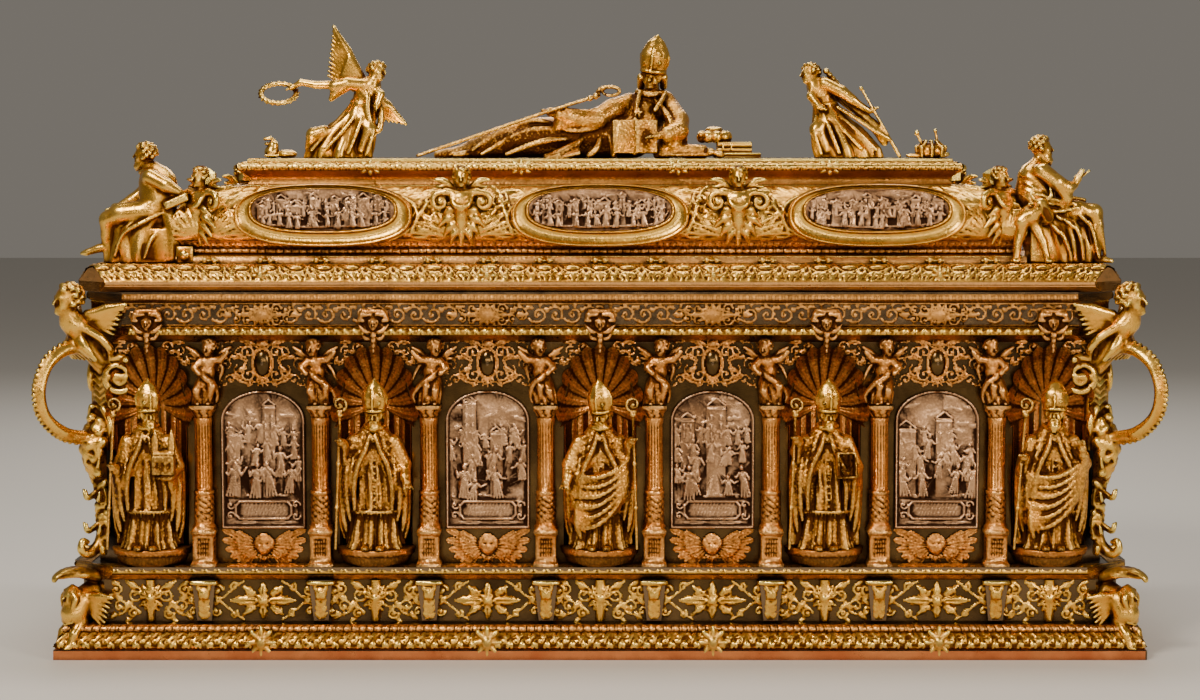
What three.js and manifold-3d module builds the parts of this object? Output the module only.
// A long gilded reliquary casket: a moulded plinth, a hollow case with niches, columns and relief
// panels, a cornice, and a hollow lid with figures seated and lying on it.
// Millimetres, +Z up, front towards -Y. The origin is on the ground under the middle of the casket.
import * as THREE from "three";
import { mergeVertices } from "three/addons/utils/BufferGeometryUtils.js";
import Module from "manifold-3d";

const wasm = await Module();
wasm.setup();

// Driving dimensions
const LENGTH = 1490; // plinth, end to end
const DEPTH = 590; // plinth, front to back
const GAP = 0.3; // between pieces that touch
const STRIP_TOP = 13; // plain strip that the casket stands on
const PLINTH_TOP = 125; // ledge that carries the columns
const CASE_TOP = 500; // rim of the case, under the cornice
const CORNICE_TOP = 536; // ledge that carries the lid and the seated figures
const LID_TOP = 642; // top of the curved lid, under the slab
const SLAB_TOP = LID_TOP + 38; // slab that carries the lying figure
const PLINTH_WALL = 45; // plinth skirt, outside to inside at the ground
const PLINTH_CEILING = 95; // underside of the plinth's top board
const CASE_INSET = 50; // case wall face, in from the plinth's edge
const CASE_WALL = 42; // case wall, board and metal together
const CASE_FLOOR = 18; // bottom board of the case
const LID_WALL = 13; // sheet and board of the lid
const NICHES = 5; // along each long side
const NICHE_MARGIN = 129; // middle of the last niche, in from the plinth's end
const BAY = (LENGTH - 2 * NICHE_MARGIN) / (NICHES - 1); // from one niche to the next
const COLUMN_OFFSET = 74; // column axis, from the middle of its niche
const COLUMN_HEIGHT = 221; // pedestal to capital
const PEDESTAL = 34; // column pedestal, square
const SHAFT_R = 13; // column shaft
const NICHE_HALF = 50; // half width of a niche
const NICHE_DEEP = 28; // depth of a niche into the wall
const NICHE_SPRING = 345; // height where the shell head starts
const NICHE_HEAD = 82; // rise of the shell head
const CORBEL_TOP = 150; // shelf under each statuette
const CORBEL_THICK = 24; // shelf, top to bottom
const CORBEL_HALF = 52; // half width of the shelf
const CORBEL_REACH = 51; // shelf, out from the wall
const STATUETTE = 236; // height of a standing bishop
const PANEL_W = 116; // relief panel, width
const PANEL_H = 191; // relief panel, height
const PANEL_Z = 174; // foot of a relief panel
const PANEL_THICK = 5; // relief panel plate
const STRIP_Z = 440; // moulding above the columns
const STRIP_H = 11; // its height
const STRIP_OUT = 24; // its reach from the wall
const PUTTO_HEADROOM = 4; // between a small figure on a capital and the moulding over it
const PUTTO = STRIP_Z - PLINTH_TOP - COLUMN_HEIGHT - PUTTO_HEADROOM; // its height
const CASE_CANT = 30; // cut corner of the case
const PLINTH_CANT = 35; // cut corner of the plinth's frieze
const CORNICE_CANT = 43; // cut corner of the cornice
const LID_HALF_X = LENGTH / 2 - 155; // widest point of the curved lid
const LID_HALF_Y = DEPTH / 2 - 90;
const OPENING_HALF_X = LID_HALF_X - 30; // opening through the cornice, under the lid
const OPENING_HALF_Y = LID_HALF_Y - 29;
const SLAB_HALF_X = LID_HALF_X - 83; // widest point of the slab
const SLAB_HALF_Y = LID_HALF_Y - 60;
const MEDALLION_GAP = 153; // between two lid medallions, and kept free at the lid's ends
const MEDALLION_HALF = LID_HALF_X / 3 - MEDALLION_GAP / 2 - 6; // half width of a lid medallion
const MEDALLION_STEP = 2 * MEDALLION_HALF + MEDALLION_GAP; // from one to the next
const MEDALLION_RISE = 38; // half height of a lid medallion
const SEAT_X = LENGTH / 2 - 119; // middle of a seated corner figure
const SEAT_Y = DEPTH / 2 - 127;
const EVANGELIST = 168; // height of a seated corner figure
const ANGEL_X = SLAB_HALF_X - 141; // middle of a kneeling angel
const HANDLE_REACH = 107; // middle of a corner handle, out from the case's cut corner

// Materials
const paint = (name, color, roughness, metalness) =>
  new THREE.MeshStandardMaterial({ name, color, roughness, metalness });
const gold = paint("gold", 0xd9a441, 0.3, 1);
const redGold = paint("red_gold", 0xb87838, 0.34, 1);
const silver = paint("silver_relief", 0xb49a86, 0.4, 1);
const darkPlate = paint("dark_plate", 0x6a5a34, 0.35, 0.9);

// Turns a closed three.js geometry into a solid for cutting and joining.
function solid(geometry) {
  const bare = new THREE.BufferGeometry();
  bare.setAttribute("position", geometry.getAttribute("position").clone());
  if (geometry.index) bare.setIndex(geometry.index.clone());
  const merged = mergeVertices(bare, 1e-3);
  const vertProperties = new Float32Array(merged.attributes.position.array);
  const make = (triVerts) => new wasm.Manifold(new wasm.Mesh({ numProp: 3, vertProperties, triVerts }));
  const triangles = new Uint32Array(merged.index.array);
  const made = make(triangles);
  return made.volume() < 0 ? make(triangles.slice().reverse()) : made;
}

// The same solid moved by a three.js matrix.
function moved(made, matrix) {
  const mesh = made.getMesh();
  const geometry = new THREE.BufferGeometry();
  const positions = new Float32Array(mesh.numVert * 3);
  for (let i = 0; i < mesh.numVert; i++)
    positions.set(mesh.vertProperties.subarray(i * mesh.numProp, i * mesh.numProp + 3), i * 3);
  geometry.setAttribute("position", new THREE.BufferAttribute(positions, 3));
  geometry.setIndex(new THREE.BufferAttribute(new Uint32Array(mesh.triVerts), 1));
  return solid(geometry.applyMatrix4(matrix));
}

const turned = (made, angle) => moved(made, new THREE.Matrix4().makeRotationZ(angle));
const shifted = (made, x, y, z) => moved(made, new THREE.Matrix4().makeTranslation(x, y, z));
const mirroredX = (made) => moved(made, new THREE.Matrix4().makeScale(-1, 1, 1));
const mirroredY = (made) => moved(made, new THREE.Matrix4().makeScale(1, -1, 1));

const join = (...solids) => solids.flat().reduce((all, next) => all.add(next));
const cut = (from, ...tools) => tools.flat().reduce((all, next) => all.subtract(next), from);

// A named mesh made from a solid, set at a place and turned about Z.
function piece(name, made, material, place = [0, 0, 0], turn = 0) {
  const mesh = made.getMesh();
  const positions = new Float32Array(mesh.numVert * 3);
  for (let i = 0; i < mesh.numVert; i++)
    positions.set(mesh.vertProperties.subarray(i * mesh.numProp, i * mesh.numProp + 3), i * 3);
  const geometry = new THREE.BufferGeometry();
  geometry.setAttribute("position", new THREE.BufferAttribute(positions, 3));
  geometry.setIndex(new THREE.BufferAttribute(new Uint32Array(mesh.triVerts), 1));
  geometry.computeVertexNormals();
  const shown = new THREE.Mesh(geometry, material);
  shown.name = name;
  shown.position.set(...place);
  shown.rotation.z = turn;
  return shown;
}

// Rings of equal point counts joined into a skin, capped at both ends or closed on itself.
function loft(rings, closed = false) {
  const count = rings[0].length;
  const positions = rings.flat(2);
  const index = [];
  const last = closed ? rings.length : rings.length - 1;
  for (let r = 0; r < last; r++)
    for (let i = 0; i < count; i++) {
      const a = r * count + i;
      const b = r * count + ((i + 1) % count);
      const c = ((r + 1) % rings.length) * count + i;
      const d = ((r + 1) % rings.length) * count + ((i + 1) % count);
      index.push(a, b, d, a, d, c);
    }
  if (!closed)
    for (const [ring, start, flip] of [
      [rings[0], 0, true],
      [rings[rings.length - 1], (rings.length - 1) * count, false],
    ])
      for (const [a, b, c] of capOf(ring))
        index.push(...(flip ? [start + a, start + c, start + b] : [start + a, start + b, start + c]));
  const geometry = new THREE.BufferGeometry();
  geometry.setAttribute("position", new THREE.Float32BufferAttribute(positions, 3));
  geometry.setIndex(index);
  return solid(geometry);
}

// Triangles of a flat ring, wound as the ring is.
function capOf(ring) {
  const points = ring.map((p) => new THREE.Vector3(...p));
  const normal = new THREE.Vector3();
  points.forEach((p, i) => normal.add(new THREE.Vector3().crossVectors(p, points[(i + 1) % points.length])));
  const turn = new THREE.Quaternion().setFromUnitVectors(normal.normalize(), new THREE.Vector3(0, 0, 1));
  const flat = points.map((p) => new THREE.Vector2(p.applyQuaternion(turn).x, p.y));
  return THREE.ShapeUtils.triangulateShape(flat, []);
}

// A rectangle at a height, as a ring.
const rectangle = (halfX, halfY, z) => [
  [-halfX, -halfY, z],
  [halfX, -halfY, z],
  [halfX, halfY, z],
  [-halfX, halfY, z],
];

// The plinth's outline taken in by an inset.
const outline = (inset, z) => rectangle(LENGTH / 2 - inset, DEPTH / 2 - inset, z);

function box(lengths, centre, turn = 0) {
  const geometry = new THREE.BoxGeometry(...lengths);
  geometry.rotateZ(turn);
  geometry.translate(...centre);
  return solid(geometry);
}

function ball(centre, radii, around = 7, down = 4) {
  const geometry = new THREE.SphereGeometry(1, around, down);
  geometry.rotateX(Math.PI / 2);
  geometry.scale(...radii);
  geometry.translate(...centre);
  return solid(geometry);
}

// A tapering limb along points [x, y, z, radius].
function limb(points, sides = 5) {
  const path = points.map((p) => new THREE.Vector3(p[0], p[1], p[2]));
  let side = new THREE.Vector3(0, 1, 0);
  const rings = path.map((p, i) => {
    const ahead = path[Math.min(i + 1, path.length - 1)];
    const behind = path[Math.max(i - 1, 0)];
    const along = new THREE.Vector3().subVectors(ahead, behind).normalize();
    if (Math.abs(side.dot(along)) > 0.95) side = new THREE.Vector3(1, 0, 0);
    side = side.clone().addScaledVector(along, -side.dot(along)).normalize();
    const up = new THREE.Vector3().crossVectors(along, side);
    return Array.from({ length: sides }, (_, k) => {
      const angle = (2 * Math.PI * k) / sides;
      const q = p.clone().addScaledVector(side, points[i][3] * Math.cos(angle));
      return q.addScaledVector(up, points[i][3] * Math.sin(angle)).toArray();
    });
  });
  return loft(rings);
}

// A draped form along Z: rows of [z, halfX, halfY, shiftX, shiftY], pleated by a share of its radius.
function drape(rows, points = 12, pleat = 0) {
  return loft(
    rows.map(([z, halfX, halfY, shiftX = 0, shiftY = 0, depth = pleat]) =>
      Array.from({ length: points }, (_, k) => {
        const angle = (2 * Math.PI * k) / points;
        const r = 1 - (k % 2 ? depth : 0);
        return [shiftX + halfX * r * Math.cos(angle), shiftY + halfY * r * Math.sin(angle), z];
      }),
    ),
  );
}

// A flat plate cut from an outline in X and Z, standing across Y from y to y + thick.
function plate(points, y, thick) {
  const shape = new THREE.Shape(points.map(([x, z]) => new THREE.Vector2(x, z)));
  const geometry = new THREE.ExtrudeGeometry(shape, { depth: thick, bevelEnabled: false });
  geometry.rotateX(Math.PI / 2);
  geometry.translate(0, y + thick, 0);
  return solid(geometry);
}

// Blocks that trim the four corners along diagonal planes x + y = reach, between two heights.
function cornerTrims(reach, zLow, zHigh) {
  const size = 160;
  const out = (size / 2) * Math.SQRT1_2;
  const x = (reach + (LENGTH - DEPTH) / 2) / 2 + out;
  const y = (reach - (LENGTH - DEPTH) / 2) / 2 + out;
  const lengths = [size, size, zHigh - zLow];
  const z = (zLow + zHigh) / 2;
  return [1, -1].flatMap((sideX) =>
    [1, -1].map((sideY) => box(lengths, [sideX * x, sideY * y, z], Math.PI / 4)),
  );
}

const nicheX = Array.from({ length: NICHES }, (_, i) => (i - (NICHES - 1) / 2) * BAY);
const panelX = nicheX.slice(1).map((x) => x - BAY / 2);
const columnX = panelX.flatMap((x) => [x - BAY / 2 + COLUMN_OFFSET, x + BAY / 2 - COLUMN_OFFSET]);
const WALL_Y = DEPTH / 2 - CASE_INSET;
const WALL_X = LENGTH / 2 - CASE_INSET;
const PLINTH_FRIEZE = 30; // plinth frieze, in from the plinth's edge
const CASE_FOOT = PLINTH_TOP + GAP;

// Diagonal planes of the cut corners, as x + y
const PLINTH_CORNER = LENGTH / 2 + DEPTH / 2 - 2 * PLINTH_FRIEZE - PLINTH_CANT;
const CASE_CORNER = WALL_X + WALL_Y - CASE_CANT;
const CORNICE_CORNER = LENGTH / 2 + DEPTH / 2 - 58 - CORNICE_CANT;

// Profiles as [inset from the plinth's edge, height], from the inside at the top round to the outside
const plinthRows = [
  [PLINTH_WALL, PLINTH_CEILING],
  [PLINTH_WALL, 0],
  [0, 0],
  [0, STRIP_TOP],
  [5, STRIP_TOP + 1],
  [3, 22],
  [13, 36],
  [12, 40],
  [17, 46],
  [PLINTH_FRIEZE, 48],
  [PLINTH_FRIEZE, 106],
  [21, 111],
  [15, 118],
  [15, PLINTH_TOP],
];
const caseRows = [
  [CASE_INSET - 14, CASE_TOP],
  [CASE_INSET - 14, CASE_TOP - 10],
  [CASE_INSET - 8, CASE_TOP - 14],
  [CASE_INSET - 8, STRIP_Z + STRIP_H],
  [CASE_INSET - STRIP_OUT, STRIP_Z + STRIP_H - 1],
  [CASE_INSET - STRIP_OUT, STRIP_Z + 3],
  [CASE_INSET - 12, STRIP_Z],
  [CASE_INSET, STRIP_Z - 8],
  [CASE_INSET, CASE_FOOT],
];

// The moulded plinth: a hollow skirt under a board, with a bracket in the frieze under each column.
function plinth() {
  const skirt = loft(plinthRows.map(([inset, z]) => outline(inset, z)));
  const face = DEPTH / 2 - PLINTH_FRIEZE;
  const level = (x, z, half, out) => [
    [x + half, 3 - face, z],
    [x - half, 3 - face, z],
    [x - half, -face - out, z],
    [x + half, -face - out, z],
  ];
  const brackets = columnX.map((x) => loft([level(x, 50, 10, 6), level(x, 107, 16, 13)]));
  return cut(join(skirt, brackets), cornerTrims(PLINTH_CORNER, STRIP_TOP, PLINTH_TOP + 1));
}

// The hollow that a niche leaves: a half round shaft under a tall shell head, for the wall at y = 0.
function nicheHollow(around) {
  const head = [0, 45].map((degrees) => (degrees * Math.PI) / 180);
  const profile = [
    [0, CORBEL_TOP],
    [1, CORBEL_TOP],
    ...head.map((a) => [Math.cos(a), NICHE_SPRING + NICHE_HEAD * Math.sin(a)]),
    [0, NICHE_SPRING + NICHE_HEAD],
  ];
  const geometry = new THREE.LatheGeometry(
    profile.map(([r, z]) => new THREE.Vector2(r * NICHE_HALF, z)),
    around,
  );
  geometry.rotateX(Math.PI / 2);
  geometry.scale(1, NICHE_DEEP / NICHE_HALF, 1);
  return solid(geometry);
}

// The shelf under a statuette, for the wall at y = 0, reaching out towards -Y.
function corbel() {
  const level = (share, z) =>
    Array.from({ length: 5 }, (_, k) => {
      const angle = Math.PI + (Math.PI * k) / 4;
      return [CORBEL_HALF * share * Math.cos(angle), CORBEL_REACH * share * Math.sin(angle) + 2, z];
    });
  return loft([level(0.6, CORBEL_TOP - CORBEL_THICK + GAP), level(1, CORBEL_TOP - 7), level(1, CORBEL_TOP)]);
}

// An arched outline standing on z, with shoulders under a low round head.
function archOutline(x, z, width, height, steps = 6) {
  const rise = width * 0.36;
  const spring = z + height - rise;
  const head = Array.from({ length: steps + 1 }, (_, k) => {
    const angle = (Math.PI * k) / steps;
    return [x + (width / 2) * Math.cos(angle), spring + rise * Math.sin(angle)];
  });
  return [[x - width / 2, z], [x + width / 2, z], ...head];
}

// Raises what is built for the front wall onto a wall turned about Z.
function onWall(made, distance, turn, x = 0) {
  return turned(shifted(made, x, -distance, 0), (turn * Math.PI) / 180);
}

// The case: hollow box with niches, shelves, the moulding strip and plain back and end panels.
function caseBody() {
  const inner = CASE_INSET + CASE_WALL;
  const hollow = [outline(inner, CASE_FOOT + CASE_FLOOR), outline(inner, CASE_TOP)];
  const shell = loft([...hollow, ...caseRows.map(([inset, z]) => outline(inset, z))]);
  const added = [];
  const taken = [];
  for (const turn of [0, 180])
    for (const x of nicheX) {
      taken.push(onWall(nicheHollow(turn ? 6 : 8), WALL_Y, turn, x));
      added.push(onWall(corbel(), WALL_Y, turn, x));
    }
  const pilaster = () => box([24, 10, COLUMN_HEIGHT], [0, -2, CASE_FOOT + COLUMN_HEIGHT / 2]);
  const raised = (width, height) =>
    plate(archOutline(0, PANEL_Z, width, height, 4), -PANEL_THICK, PANEL_THICK + 3);
  for (const x of columnX) added.push(onWall(pilaster(), WALL_Y, 180, x));
  for (const x of panelX) added.push(onWall(raised(PANEL_W, PANEL_H), WALL_Y, 180, x));
  for (const turn of [90, 270]) {
    added.push(onWall(raised(150, 205), WALL_X, turn));
    for (const x of [-128, 128]) added.push(onWall(pilaster(), WALL_X, turn, x));
  }
  return cut(join(shell, added), taken, cornerTrims(CASE_CORNER, CASE_FOOT - 1, CASE_TOP + 1));
}

// The cornice frame that closes the top of the case and carries the lid.
function cornice() {
  const frame = loft(
    [
      rectangle(OPENING_HALF_X, OPENING_HALF_Y, CORNICE_TOP),
      rectangle(OPENING_HALF_X, OPENING_HALF_Y, CASE_TOP + GAP),
      outline(40, CASE_TOP + GAP),
      outline(29, CASE_TOP + 8),
      outline(28, CASE_TOP + 14),
      outline(34, CASE_TOP + 20),
      outline(44, CASE_TOP + 31),
      outline(60, CORNICE_TOP),
    ],
    true,
  );
  return cut(frame, cornerTrims(CORNICE_CORNER, CASE_TOP, CORNICE_TOP + 1));
}

const LID_BULGE = CORNICE_TOP + 48; // height where the lid is widest

// Outer half sizes of the curved lid at each height, from its foot to its top.
const lidRows = [
  [LID_HALF_X - 4, LID_HALF_Y - 4, CORNICE_TOP + GAP],
  [LID_HALF_X - 4, LID_HALF_Y - 4, CORNICE_TOP + 10],
  [LID_HALF_X - 15, LID_HALF_Y - 15, CORNICE_TOP + 13],
  [LID_HALF_X - 15, LID_HALF_Y - 15, CORNICE_TOP + 25],
  [LID_HALF_X, LID_HALF_Y, LID_BULGE],
  [LID_HALF_X - 12, LID_HALF_Y - 8, LID_BULGE + 32],
  [LID_HALF_X - 70, LID_HALF_Y - 47, LID_TOP],
];

// A cherub that ends in leaves, standing on the lid at (x, y) and leaning out along (outX, outY).
function lidTerm(x, y, outX, outY) {
  const at = (out, z, r) => [x + outX * out, y + outY * out, z, r];
  const head = LID_TOP + 11;
  return join(
    limb([at(-4, LID_BULGE - 16, 10), at(2, LID_BULGE + 12, 13), at(-14, head - 8, 9)], 4),
    ball([x - outX * 12, y - outY * 12, head], [14, 14, 15], 5, 3),
  );
}

// A raised oval on one long side of the lid, at x.
function medallion(x, side) {
  const around = 8;
  const back = (z) => LID_HALF_Y - 9 - 0.66 * Math.max(0, z - LID_BULGE - 8);
  const level = (share, y) =>
    Array.from({ length: around }, (_, k) => {
      const angle = (2 * Math.PI * (k + 0.5)) / around;
      const z = LID_BULGE + 19 + MEDALLION_RISE * share * Math.sin(angle);
      return [x + MEDALLION_HALF * share * Math.cos(angle), side * (y || back(z)), z];
    });
  return loft([level(1.05, 0), level(0.98, LID_HALF_Y + 9)]);
}

// The curved lid, hollow and open below, with medallions and cherubs raised on it.
function lid() {
  const inner = (i, z) => rectangle(lidRows[i][0] - LID_WALL, lidRows[i][1] - LID_WALL, z);
  const ceiling = LID_TOP - LID_WALL;
  const foot = inner(3, CORNICE_TOP + GAP);
  const room = [inner(6, ceiling), inner(5, ceiling - 15), inner(4, LID_BULGE), foot];
  const shell = loft([...room, ...lidRows.map(([halfX, halfY, z]) => rectangle(halfX, halfY, z))]);
  const medallions = [-1, 1].flatMap((side) =>
    [-1, 0, 1].map((k) => medallion(k * MEDALLION_STEP, side)),
  );
  const terms = [-1, 1].flatMap((k) => [
    lidTerm((k * MEDALLION_STEP) / 2, -LID_HALF_Y - 2, 0, -1),
    lidTerm(k * (LID_HALF_X - 40), -LID_HALF_Y + 8, k * Math.SQRT1_2, -Math.SQRT1_2),
    lidTerm(k * (LID_HALF_X - 40), LID_HALF_Y - 8, k * Math.SQRT1_2, Math.SQRT1_2),
  ]);
  return join(shell, medallions, terms.map((term) => cut(term, loft(room))));
}

// The moulded slab on the lid.
function slab() {
  return loft([
    rectangle(SLAB_HALF_X - 12, SLAB_HALF_Y - 12, LID_TOP + GAP),
    rectangle(SLAB_HALF_X - 18, SLAB_HALF_Y - 18, LID_TOP + 11),
    rectangle(SLAB_HALF_X, SLAB_HALF_Y, SLAB_TOP - 16),
    rectangle(SLAB_HALF_X, SLAB_HALF_Y, SLAB_TOP - 8),
    rectangle(SLAB_HALF_X - 12, SLAB_HALF_Y - 12, SLAB_TOP - 4),
    rectangle(SLAB_HALF_X - 12, SLAB_HALF_Y - 12, SLAB_TOP),
  ]);
}

// A column on its pedestal: square at foot and head, fluted between.
function column() {
  const square = (h, z) => [
    [-h, -h, z],
    [h, -h, z],
    [h, h, z],
    [-h, h, z],
  ];
  const round = (r, z, flute) =>
    Array.from({ length: 8 }, (_, k) => {
      const angle = (2 * Math.PI * k) / 8;
      const reach = r * (k % 2 ? 1 - flute : 1);
      return [reach * Math.cos(angle), reach * Math.sin(angle), z];
    });
  const half = PEDESTAL / 2;
  const pedestal = loft([square(half, 0), square(half - 3, 8), square(half - 3, 43), square(half, 49)]);
  const shaft = loft([
    round(SHAFT_R + 2, 48, 0.03),
    round(SHAFT_R, 100, 0.14),
    round(SHAFT_R - 1, COLUMN_HEIGHT - 20, 0.14),
    round(SHAFT_R + 3, COLUMN_HEIGHT - 3, 0.03),
  ]);
  return join(pedestal, shaft, box([PEDESTAL - 1, PEDESTAL - 1, 4], [0, 0, COLUMN_HEIGHT - 2]));
}

// A small winged figure standing on a capital, leaning to one side by a share of its height.
function putto(lean) {
  const h = PUTTO;
  const x = (share) => lean * h * share;
  const body = drape(
    [
      [0, 0.15 * h, 0.14 * h],
      [0.3 * h, 0.17 * h, 0.13 * h, x(0.3)],
      [0.52 * h, 0.11 * h, 0.09 * h, x(0.6)],
      [0.76 * h, 0.12 * h, 0.08 * h, x(0.9)],
    ],
    5,
  );
  const head = ball([x(1), -0.01 * h, 0.86 * h], [0.11 * h, 0.11 * h, 0.13 * h], 4, 3);
  const hand = (side, z) => [x(0.9) + side * 0.23 * h, -0.04 * h, z * h, 0.035 * h];
  const way = Math.sign(lean);
  const arms = limb([hand(-way, 0.52), [x(0.85), 0, 0.66 * h, 0.05 * h], hand(way, 0.61)], 3);
  return join(body, head, arms);
}

// A bishop's head in a mitre: head centre at (x, y, z), mitre rising by tall.
function mitredHead(x, y, z, r, tall, turn = 0) {
  const head = drape(
    [
      [-1.3 * r, r * 0.45, r * 0.5, 0, -r * 0.3],
      [-0.4 * r, r * 0.85, r * 0.95],
      [r * 0.6, r, r],
      [r * 1.3, r * 1.15, r * 1.05],
      [r * 0.35 + tall * 0.55, r, r * 0.8],
      [r * 0.35 + tall, r * 0.16, r * 0.3],
    ],
    6,
  );
  return shifted(turned(head, (turn * Math.PI) / 180), x, y, z);
}

// A standing bishop with a cope, a crozier on one side and a book or church on the other.
function standingBishop({ staffSide, turn, spread, flare, book = false }, front = true) {
  const h = STATUETTE;
  const sway = staffSide * 2;
  const robe = drape(
    [
      [0, 0.16 * h, 0.11 * h, 0, 0, 0.17],
      [0.28 * h, 0.14 * h, 0.105 * h, sway, 0, 0.14],
      [0.52 * h, (0.185 + flare) * h, 0.115 * h, sway, 0, 0.06],
      [0.79 * h, 0.09 * h, 0.06 * h],
    ],
    8,
  );
  const gripX = staffSide * 0.2 * h;
  const gripY = -0.1 * h;
  const gripZ = (0.55 + spread) * h;
  const rod = 0.009 * h;
  const crozier = limb(
    [
      [gripX, gripY, 0.012 * h, rod],
      [gripX, gripY, 0.81 * h, rod],
      [gripX - staffSide * 0.02 * h, gripY, 0.885 * h, rod * 2],
    ],
    3,
  );
  const parts = [
    robe,
    mitredHead(sway, -0.01 * h, 0.83 * h, 0.048 * h, 0.155 * h, turn),
    limb([[staffSide * 0.13 * h, -0.03 * h, 0.64 * h, 0.055 * h], [gripX, gripY, gripZ, 0.026 * h]], 3),
    crozier,
  ];
  const free = -staffSide * 0.14 * h;
  const freeArm = [
    [free, -0.04 * h, 0.62 * h, 0.055 * h],
    [free, -0.12 * h, 0.48 * h, 0.03 * h],
  ];
  if (front) parts.push(limb(freeArm, 3));
  if (front && book) parts.push(box([0.13 * h, 0.06 * h, 0.13 * h], [free, -0.125 * h, 0.53 * h]));
  return join(parts);
}

// A seated figure facing +X, feet at z = 0: lap and skirts, chest, head and beard.
function seatedBody(lean, hem, rise) {
  const h = EVANGELIST;
  const skirts = drape(
    [
      [0, 0.26 * h, 0.17 * h, hem, 0, 0.12],
      [0.4 * h, 0.22 * h, 0.17 * h, hem + 2, 0, 0.06],
      [0.5 * h, 0.14 * h, 0.14 * h, hem - 24],
    ],
    8,
  );
  const chest = drape(
    [
      [0.4 * h, 0.14 * h, 0.14 * h, -4],
      [(0.75 + rise) * h, 0.11 * h, 0.165 * h, lean],
      [(0.84 + rise) * h, 0.06 * h, 0.07 * h, lean + 5],
    ],
    6,
  );
  const headZ = (0.9 + rise) * h;
  const head = ball([lean + 8, 0, headZ], [15, 13, 18], 6, 4);
  const beard = ball([lean + 21, 0, headZ - 11], [11, 8, 10], 4, 3);
  return join(skirts, chest, head, beard);
}

// An evangelist with one hand forward, a book held back at the side and one leg crossed.
function readingEvangelist() {
  const body = seatedBody(-2, 22, 0);
  const legs = limb([[22, 8, 58, 18], [50, 12, 62, 14], [70, 14, 22, 8], [94, 14, 12, 4]], 4);
  const forward = limb([[0, -12, 120, 13], [28, -2, 94, 9], [62, 8, 75, 4]], 3);
  const back = limb([[-4, 16, 120, 13], [-38, 38, 98, 7]], 3);
  const book = box([27, 11, 21], [-38, 42, 90]);
  const scroll = limb([[0, 14, 16, 13], [-26, 46, 13, 13]], 5);
  return trimBelow(join(body, legs, forward, back, book, scroll));
}

// An evangelist with a raised hand and his ox at his knee.
function teachingEvangelist() {
  const body = seatedBody(-16, 28, 0.035);
  const knee = limb([[14, 0, 62, 20], [52, -2, 62, 16], [66, 0, 0, 12]], 4);
  const raised = limb([[-14, -16, 130, 13], [24, -22, 106, 9], [50, -16, 130, 4]], 3);
  const lowered = limb([[-16, 18, 128, 13], [22, 12, 88, 7]], 3);
  const ox = limb([[-16, -14, 50, 18], [-22, -40, 64, 15], [-20, -47, 80, 12], [-9, -52, 63, 8]], 5);
  const forelegs = [-36, -8].map((x) => limb([[-22, -42, 60, 10], [x, -49, 0, 5]], 3));
  const horns = limb([[-34, -46, 102, 2], [-20, -46, 86, 5], [-6, -46, 102, 2]], 3);
  return trimBelow(join(body, knee, raised, lowered, ox, forelegs, horns));
}

const TRIM = 700; // block that is larger than any figure

// Cuts away whatever reaches under z = 0.
const trimBelow = (made) => cut(made, box([TRIM, TRIM, TRIM], [0, 0, -TRIM / 2]));

// The bishop lying on his side along X, head towards +X, holding a crozier and a book.
function lyingBishop() {
  const across = ([x, halfY, halfZ, z, pleat]) =>
    Array.from({ length: 8 }, (_, k) => {
      const angle = (2 * Math.PI * k) / 8;
      const r = k % 2 ? 1 - pleat : 1;
      return [x, halfY * r * Math.cos(angle), z + halfZ * r * Math.sin(angle)];
    });
  const body = loft(
    [
      [-230, 28, 9, 5, 0.1],
      [-168, 50, 16, 14, 0.14],
      [-110, 54, 29, 22, 0.14],
      [-20, 52, 37, 32, 0.1],
      [118, 46, 42, 42, 0.03],
      [140, 30, 26, 30, 0.02],
    ].map(across),
  );
  const chest = limb([[50, 0, 44, 42], [80, 0, 76, 32], [84, 0, 98, 14]], 6);
  const upperArm = limb([[70, -24, 78, 20], [6, -40, 58, 17], [-74, -52, 68, 9]], 4);
  const lowerArm = limb([[112, -20, 66, 20], [118, -52, 42, 17], [70, -72, 30, 9]], 4);
  const crozier = limb([[-258, -52, 4, 3], [-74, -54, 62, 4], [26, -54, 97, 8], [35, -54, 84, 5]], 4);
  const book = box([62, 22, 46], [54, -70, 24]);
  const cushion = box([84, 96, 19], [124, -6, 9.5]);
  const head = mitredHead(82, -3, 116, 16, 54, -35);
  return trimBelow(join(body, chest, head, upperArm, lowerArm, crozier, book, cushion));
}

// An angel that kneels and leans towards +X: skirts, chest and head.
function angelBody(lean) {
  const skirts = drape(
    [
      [0, 47, 29, lean - 58, 0, 0.14],
      [32, 36, 25, lean - 44, 0, 0.15],
      [62, 18, 17, lean - 26],
      [108, 14, 13, lean - 12],
    ],
    8,
  );
  return join(skirts, ball([lean, 0, 121], [16, 15, 18], 6, 4));
}

// The angel that holds a wreath out behind, with tall raised wings.
function wreathAngel() {
  const wing = plate([[16, 80], [28, 100], [24, 130], [-26, 191], [-20, 118]], 5, 6);
  const lowWing = plate([[18, 96], [42, 92], [80, 44], [40, 50]], 12, 6);
  const arm = limb([[20, -4, 100, 11], [-50, -8, 106, 7], [-80, -4, 98, 5]], 4);
  const free = limb([[26, 0, 96, 9], [42, -22, 84, 7], [40, -24, 62, 5]], 3);
  const wreath = new THREE.TorusGeometry(22, 4.5, 3, 8);
  wreath.rotateX(1.1);
  wreath.translate(-98, -2, 92);
  return trimBelow(join(angelBody(42), wing, lowWing, arm, free, solid(wreath)));
}

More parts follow.
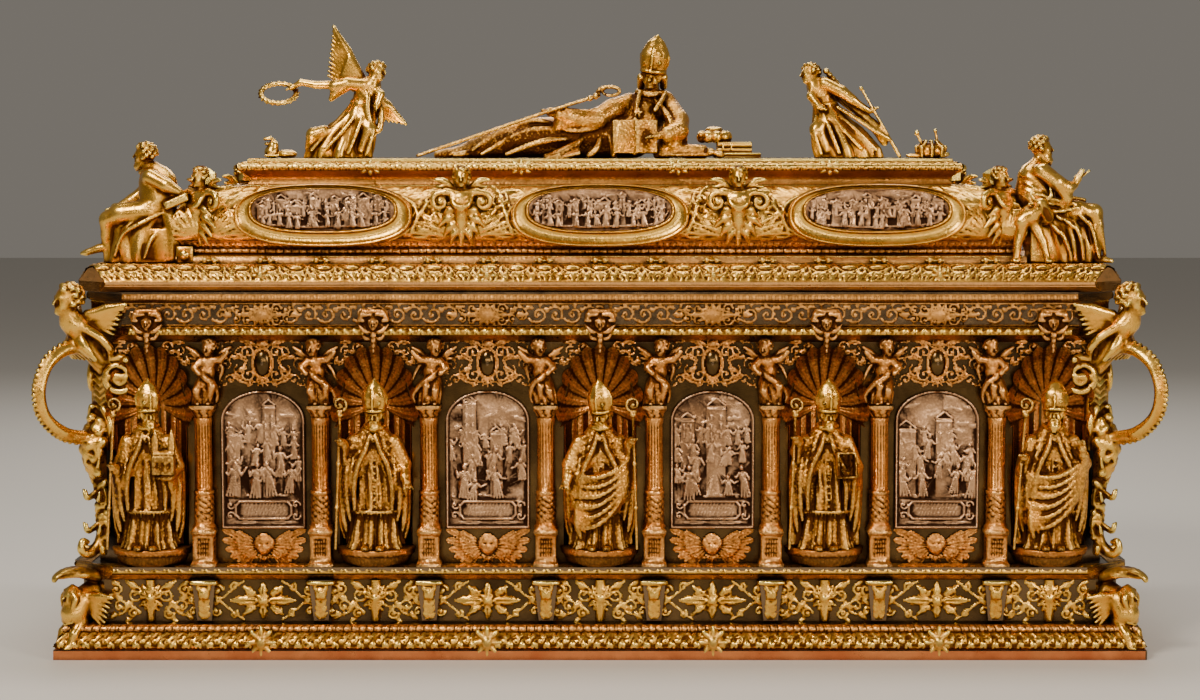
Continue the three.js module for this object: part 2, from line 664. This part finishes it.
// The angel that leans on a staff.
function staffAngel() {
  const wing = plate([[30, 70], [42, 112], [26, 128], [-50, 34]], 8, 6);
  const arm = limb([[34, -6, 106, 11], [4, -16, 88, 8], [-28, -18, 68, 6]], 4);
  const free = limb([[40, 0, 100, 9], [52, -22, 82, 7], [44, -26, 64, 5]], 3);
  const staff = limb([[-12, -18, 103, 2.5], [-68, -18, 0, 3.5]], 4);
  return trimBelow(join(angelBody(60), wing, arm, free, staff));
}

// A small heap of a helmet and shield, or of a crown between two sceptres.
function trophy(crowned) {
  const parts = crowned
    ? [
        ball([8, 0, 12], [24, 18, 15], 7, 4),
        limb([[-4, 0, 10, 3], [-12, 0, 37, 3.5]], 4),
        limb([[16, 0, 8, 3], [14, 0, 42, 3]], 4),
      ]
    : [limb([[-12, 0, 0, 12], [-10, 0, 20, 9], [-17, 0, 30, 5]], 6), ball([12, 0, 6], [16, 14, 10], 6, 4)];
  return trimBelow(join(parts));
}

// A lobed hat lying on two books.
function hatOnBooks() {
  const hat = drape([[22, 23, 23, -20], [28, 27, 27, -20, 0, 0.14], [46, 18, 18, -20]], 10);
  return join(box([54, 60, 8], [20, 0, 4]), box([50, 48, 15], [9, 0, 15.5]), hat);
}

// A relief panel for the wall at y = 0: arched plate, caption tablet and a row of figures.
function reliefPanel(seed) {
  const w = PANEL_W;
  const h = PANEL_H;
  const y = -GAP - PANEL_THICK;
  const figures = Array.from({ length: 3 }, (_, k) => {
    const x = (k - 1) * w * 0.26 + ((seed * 7 + k * 5) % 4) - 2;
    return ball([x, y, h * (0.4 + 0.08 * ((k + seed) % 2))], [w * 0.09, 4.8, h * 0.15], 5, 3);
  });
  const tablet = box([w * 0.66, 4, h * 0.11], [0, y - 1, h * 0.12]);
  return join(plate(archOutline(0, 0, w, h), y, PANEL_THICK), figures, tablet);
}

// Stands what is made about a cut corner's own frame at the corner (+, +), inset from the plinth's edge.
function atCorner(made, inset) {
  const inPlace = new THREE.Matrix4().makeRotationZ(Math.PI / 4);
  return moved(made, inPlace.setPosition(LENGTH / 2 - inset, DEPTH / 2 - inset, 0));
}

// The bracket on a cut corner of the case, +X out along the diagonal from the corner's face and Z
// from the case's rim: a cherub over two volutes, a round handle, and a garland that runs down into
// a scrolled foot.
function cornerBracket() {
  const half = CASE_CANT * Math.SQRT1_2;
  const cherub = join(
    limb([[9, 0, -80, 11], [36, 0, -52, 17], [58, 0, -22, 11]], 4),
    ball([63, 0, -11], [21, 21, 23], 6, 4),
  );
  const wings = [-1, 1].map((side) => limb([[40, side * 10, -34, 12], [14, side * 54, -23, 6]], 4));
  const volutes = [-1, 1].map((side) => {
    const disc = new THREE.CylinderGeometry(31, 31, 13, 8);
    disc.rotateZ(Math.PI / 2);
    disc.rotateZ(side * (Math.PI / 4));
    const along = 7;
    const out = 7;
    disc.translate((out - along) * Math.SQRT1_2, side * (half + (out + along) * Math.SQRT1_2), -116);
    return solid(disc);
  });
  const reach = HANDLE_REACH;
  const handle = limb(
    [
      [5, 0, -86, 11],
      [reach * 0.56, 0, -76, 10],
      [reach * 0.96, 0, -114, 9],
      [reach * 0.94, 0, -162, 9],
      [reach * 0.5, 0, -195, 9],
      [5, 0, -204, 11],
    ],
    4,
  );
  const garland = limb(
    [
      [13, 0, -188, 11],
      [24, 0, -220, 19],
      [10, 0, -272, 9],
      [9, 0, -340, 8],
      [36, 0, -356, 8],
    ],
    4,
  );
  const strip = box([10, 2 * half + 6, 136], [5 + GAP, 0, -144]);
  const made = join(cherub, wings, volutes, handle, garland, strip);
  return atCorner(shifted(made, 0, 0, CASE_TOP), CASE_INSET + CASE_CANT / 2);
}

// The crouching harpy on a cut corner of the plinth, with a beaked crest over its head.
function footHarpy() {
  const body = limb([[15, 0, 98, 13], [36, 0, 76, 18], [26, 0, 42, 14], [50, 0, 21, 6]], 5);
  const crest = limb([[3, 0, 110, 9], [58, 0, 116, 4]], 4);
  const wings = [-1, 1].map((side) => limb([[22, side * 8, 84, 11], [9, side * 44, 66, 7]], 4));
  return atCorner(join(body, crest, wings), PLINTH_FRIEZE + PLINTH_CANT / 2);
}

const casket = new THREE.Group();
const add = (...args) => casket.add(piece(...args));

add("plinth", plinth(), redGold);
add("case", caseBody(), darkPlate);
add("cornice", cornice(), gold);
add("lid", lid(), gold);
add("lid_slab", slab(), gold);

const columnY = -(WALL_Y + PEDESTAL / 2 + GAP);
columnX.forEach((x, i) => {
  add(`column_${i + 1}`, column(), redGold, [x, columnY, PLINTH_TOP + GAP]);
  const lean = i % 2 ? -0.12 : 0.12;
  add(`putto_${i + 1}`, putto(lean), redGold, [x, columnY, PLINTH_TOP + COLUMN_HEIGHT + 2 * GAP]);
});

const bishops = [
  { staffSide: -1, turn: 20, spread: -0.02, flare: 0.01, book: true },
  { staffSide: -1, turn: -8, spread: 0.1, flare: 0 },
  { staffSide: 1, turn: -30, spread: 0.02, flare: 0.02 },
  { staffSide: -1, turn: 10, spread: 0.08, flare: 0, book: true },
  { staffSide: -1, turn: -14, spread: 0, flare: 0.03, book: true },
];
const bishopY = WALL_Y + 24;
nicheX.forEach((x, i) => {
  const z = CORBEL_TOP + GAP;
  add(`bishop_front_${i + 1}`, standingBishop(bishops[i]), gold, [x, -bishopY, z]);
  add(`bishop_back_${i + 1}`, standingBishop(bishops[i], false), gold, [-x, bishopY, z], Math.PI);
});

panelX.forEach((x, i) => add(`relief_panel_${i + 1}`, reliefPanel(i), silver, [x, -WALL_Y, PANEL_Z]));

// The seated figures are made facing +X with the front of the casket on their -Y side. There are
// none at the back corners.
const onCornice = (x, y) => [x, y, CORNICE_TOP + GAP];
add("evangelist_front_left", mirroredX(mirroredY(readingEvangelist())), gold, onCornice(-SEAT_X, -SEAT_Y));
add("evangelist_front_right", teachingEvangelist(), gold, onCornice(SEAT_X, -SEAT_Y));

const onSlab = (x) => [x, 0, SLAB_TOP + GAP];
add("lying_bishop", lyingBishop(), gold, onSlab(-4));
add("hat_on_books", hatOnBooks(), gold, onSlab(186));
add("angel_with_wreath", wreathAngel(), gold, onSlab(-ANGEL_X));
add("angel_with_staff", mirroredX(staffAngel()), gold, onSlab(ANGEL_X));
add("trophy_left", trophy(false), gold, onSlab(39 - SLAB_HALF_X));
add("trophy_right", trophy(true), gold, onSlab(SLAB_HALF_X - 33));

for (const [corner, fit] of [
  ["back_right", (made) => made],
  ["back_left", mirroredX],
  ["front_right", mirroredY],
  ["front_left", (made) => mirroredX(mirroredY(made))],
]) {
  add(`corner_bracket_${corner}`, fit(cornerBracket()), gold);
  add(`foot_harpy_${corner}`, fit(footHarpy()), gold);
}

export default casket;
